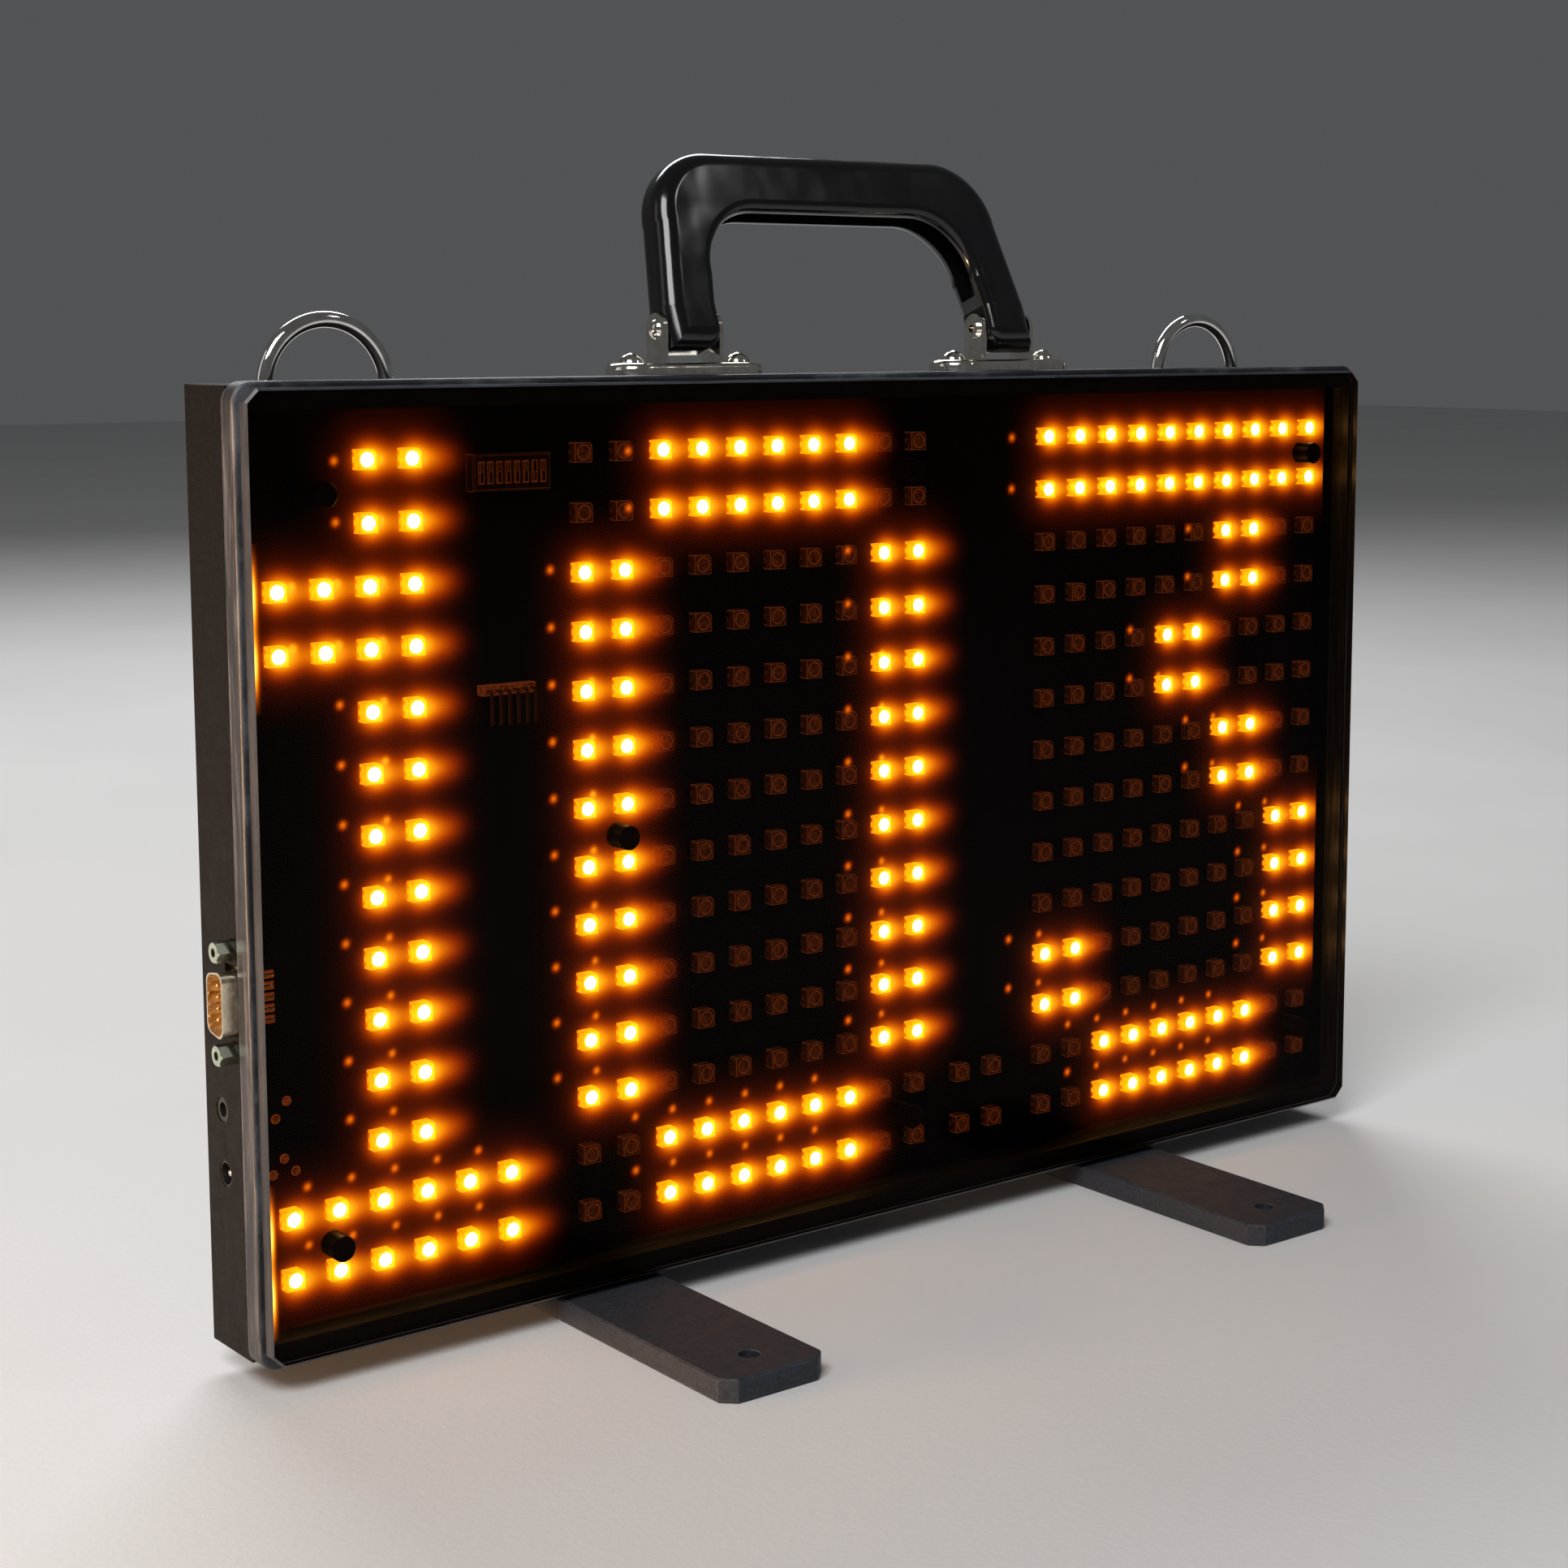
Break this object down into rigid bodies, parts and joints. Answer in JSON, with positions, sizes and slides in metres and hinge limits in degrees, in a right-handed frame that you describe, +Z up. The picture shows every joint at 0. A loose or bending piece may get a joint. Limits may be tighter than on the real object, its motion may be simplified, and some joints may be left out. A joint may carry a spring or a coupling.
{
  "type": "LED number display",
  "caption": "Flat LED number display with a dark front sheet, folding carrying handle, two hanging eyes, two bar feet and side sockets.",
  "frame": {"origin": "centre of the footprint, level with the underside of the feet", "axes": "+X to the right of someone facing the display, -Y out of the display's front, +Z up"},
  "size_m": [0.384, 0.168, 0.3003],
  "materials": {
    "board_standoffs": "plain",
    "bracket_left": "bright nickel plate",
    "bracket_nuts": "zinc plate",
    "bracket_right": "bright nickel plate",
    "bracket_screws": "bright nickel plate",
    "clock_crystal": "satin can",
    "controller_chip": "black nylon",
    "display_board": "black solder mask on laminate",
    "display_panel": "dark amber smoke acrylic, polished",
    "driver_chips": "black nylon",
    "foot_left": "satin charcoal powder coat",
    "foot_nuts": "zinc plate",
    "foot_pads": "black nylon",
    "foot_right": "satin charcoal powder coat",
    "foot_screws": "zinc plate",
    "frame_screws": "black zinc",
    "front_frame": "dark grey metallic, slightly scuffed",
    "handle_grip": "glossy black moulding",
    "header_body": "black nylon",
    "header_pins": "gold plated",
    "jack_leads": "tin and nickel plate",
    "led_lenses_lit": "lit clear resin",
    "led_lenses_unlit": "unlit clear resin",
    "leds_decimal_point": "moulded LED package",
    "leds_left_digit": "moulded LED package",
    "leds_middle_digit": "moulded LED package",
    "leds_right_digit": "moulded LED package",
    "panel_gasket": "closed cell foam",
    "panel_pillars": "black nylon",
    "pivot_rivet_left": "bright nickel plate",
    "pivot_rivet_right": "bright nickel plate",
    "power_inductor": "moulded ferrite",
    "power_jack_body": "black nylon",
    "power_jack_pin": "tin and nickel plate",
    "rear_case": "fine texture black powder coat",
    "regulator_chip": "black nylon",
    "ring_left": "bright chromium plate",
    "ring_nuts": "zinc plate",
    "ring_right": "bright chromium plate",
    "serial_chip": "black nylon",
    "serial_insulator": "black nylon",
    "serial_jackscrews": "yellow-green passivated zinc",
    "serial_pins": "gold plated",
    "serial_shell": "tin and nickel plate",
    "serial_solder": "tin and nickel plate",
    "signal_jack_body": "black nylon",
    "standoff_screws": "black zinc",
    "supply_capacitors": "satin can",
    "switch_block": "dark moulding",
    "switch_slider_1": "white moulding",
    "switch_slider_2": "white moulding",
    "switch_slider_3": "white moulding",
    "switch_slider_4": "white moulding",
    "switch_slider_5": "white moulding",
    "switch_slider_6": "white moulding",
    "switch_slider_7": "white moulding",
    "switch_slider_8": "white moulding"
  },
  "bodies": {
    "case": {"board_standoffs": "board_standoffs", "bracket_left": "bracket_left", "bracket_nuts": "bracket_nuts", "bracket_right": "bracket_right", "bracket_screws": "bracket_screws", "clock_crystal": "clock_crystal", "controller_chip": "controller_chip", "display_board": "display_board", "display_panel": "display_panel", "driver_chips": "driver_chips", "foot_left": "foot_left", "foot_nuts": "foot_nuts", "foot_pads": "foot_pads", "foot_right": "foot_right", "foot_screws": "foot_screws", "frame_screws": "frame_screws", "front_frame": "front_frame", "header_body": "header_body", "header_pins": "header_pins", "jack_leads": "jack_leads", "led_lenses_lit": "led_lenses_lit", "led_lenses_unlit": "led_lenses_unlit", "leds_decimal_point": "leds_decimal_point", "leds_left_digit": "leds_left_digit", "leds_middle_digit": "leds_middle_digit", "leds_right_digit": "leds_right_digit", "panel_gasket": "panel_gasket", "panel_pillars": "panel_pillars", "pivot_rivet_left": "pivot_rivet_left", "pivot_rivet_right": "pivot_rivet_right", "power_inductor": "power_inductor", "power_jack_body": "power_jack_body", "power_jack_pin": "power_jack_pin", "rear_case": "rear_case", "regulator_chip": "regulator_chip", "ring_left": "ring_left", "ring_nuts": "ring_nuts", "ring_right": "ring_right", "serial_chip": "serial_chip", "serial_insulator": "serial_insulator", "serial_jackscrews": "serial_jackscrews", "serial_pins": "serial_pins", "serial_shell": "serial_shell", "serial_solder": "serial_solder", "signal_jack_body": "signal_jack_body", "standoff_screws": "standoff_screws", "supply_capacitors": "supply_capacitors", "switch_block": "switch_block"},
    "handle": {"handle_grip": "handle_grip"},
    "slider_1": {"switch_slider_1": "switch_slider_1"},
    "slider_2": {"switch_slider_2": "switch_slider_2"},
    "slider_3": {"switch_slider_3": "switch_slider_3"},
    "slider_4": {"switch_slider_4": "switch_slider_4"},
    "slider_5": {"switch_slider_5": "switch_slider_5"},
    "slider_6": {"switch_slider_6": "switch_slider_6"},
    "slider_7": {"switch_slider_7": "switch_slider_7"},
    "slider_8": {"switch_slider_8": "switch_slider_8"}
  },
  "joints": [
    {"name": "handle_fold", "type": "hinge", "parent": "case", "child": "handle", "pos_m": [0, 0.004, 0.2538], "axis": [1, 0, 0], "range_deg": [-81, 122]},
    {"name": "switch_1", "type": "slide", "parent": "case", "child": "slider_1", "axis": [0, 0, 1], "range_m": [-0.0026, 0]},
    {"name": "switch_2", "type": "slide", "parent": "case", "child": "slider_2", "axis": [0, 0, 1], "range_m": [-0.0026, 0]},
    {"name": "switch_3", "type": "slide", "parent": "case", "child": "slider_3", "axis": [0, 0, 1], "range_m": [-0.0026, 0]},
    {"name": "switch_4", "type": "slide", "parent": "case", "child": "slider_4", "axis": [0, 0, 1], "range_m": [-0.0026, 0]},
    {"name": "switch_5", "type": "slide", "parent": "case", "child": "slider_5", "axis": [0, 0, 1], "range_m": [-0.0026, 0]},
    {"name": "switch_6", "type": "slide", "parent": "case", "child": "slider_6", "axis": [0, 0, 1], "range_m": [-0.0026, 0]},
    {"name": "switch_7", "type": "slide", "parent": "case", "child": "slider_7", "axis": [0, 0, 1], "range_m": [0, 0.0026]},
    {"name": "switch_8", "type": "slide", "parent": "case", "child": "slider_8", "axis": [0, 0, 1], "range_m": [-0.0026, 0]}
  ]
}
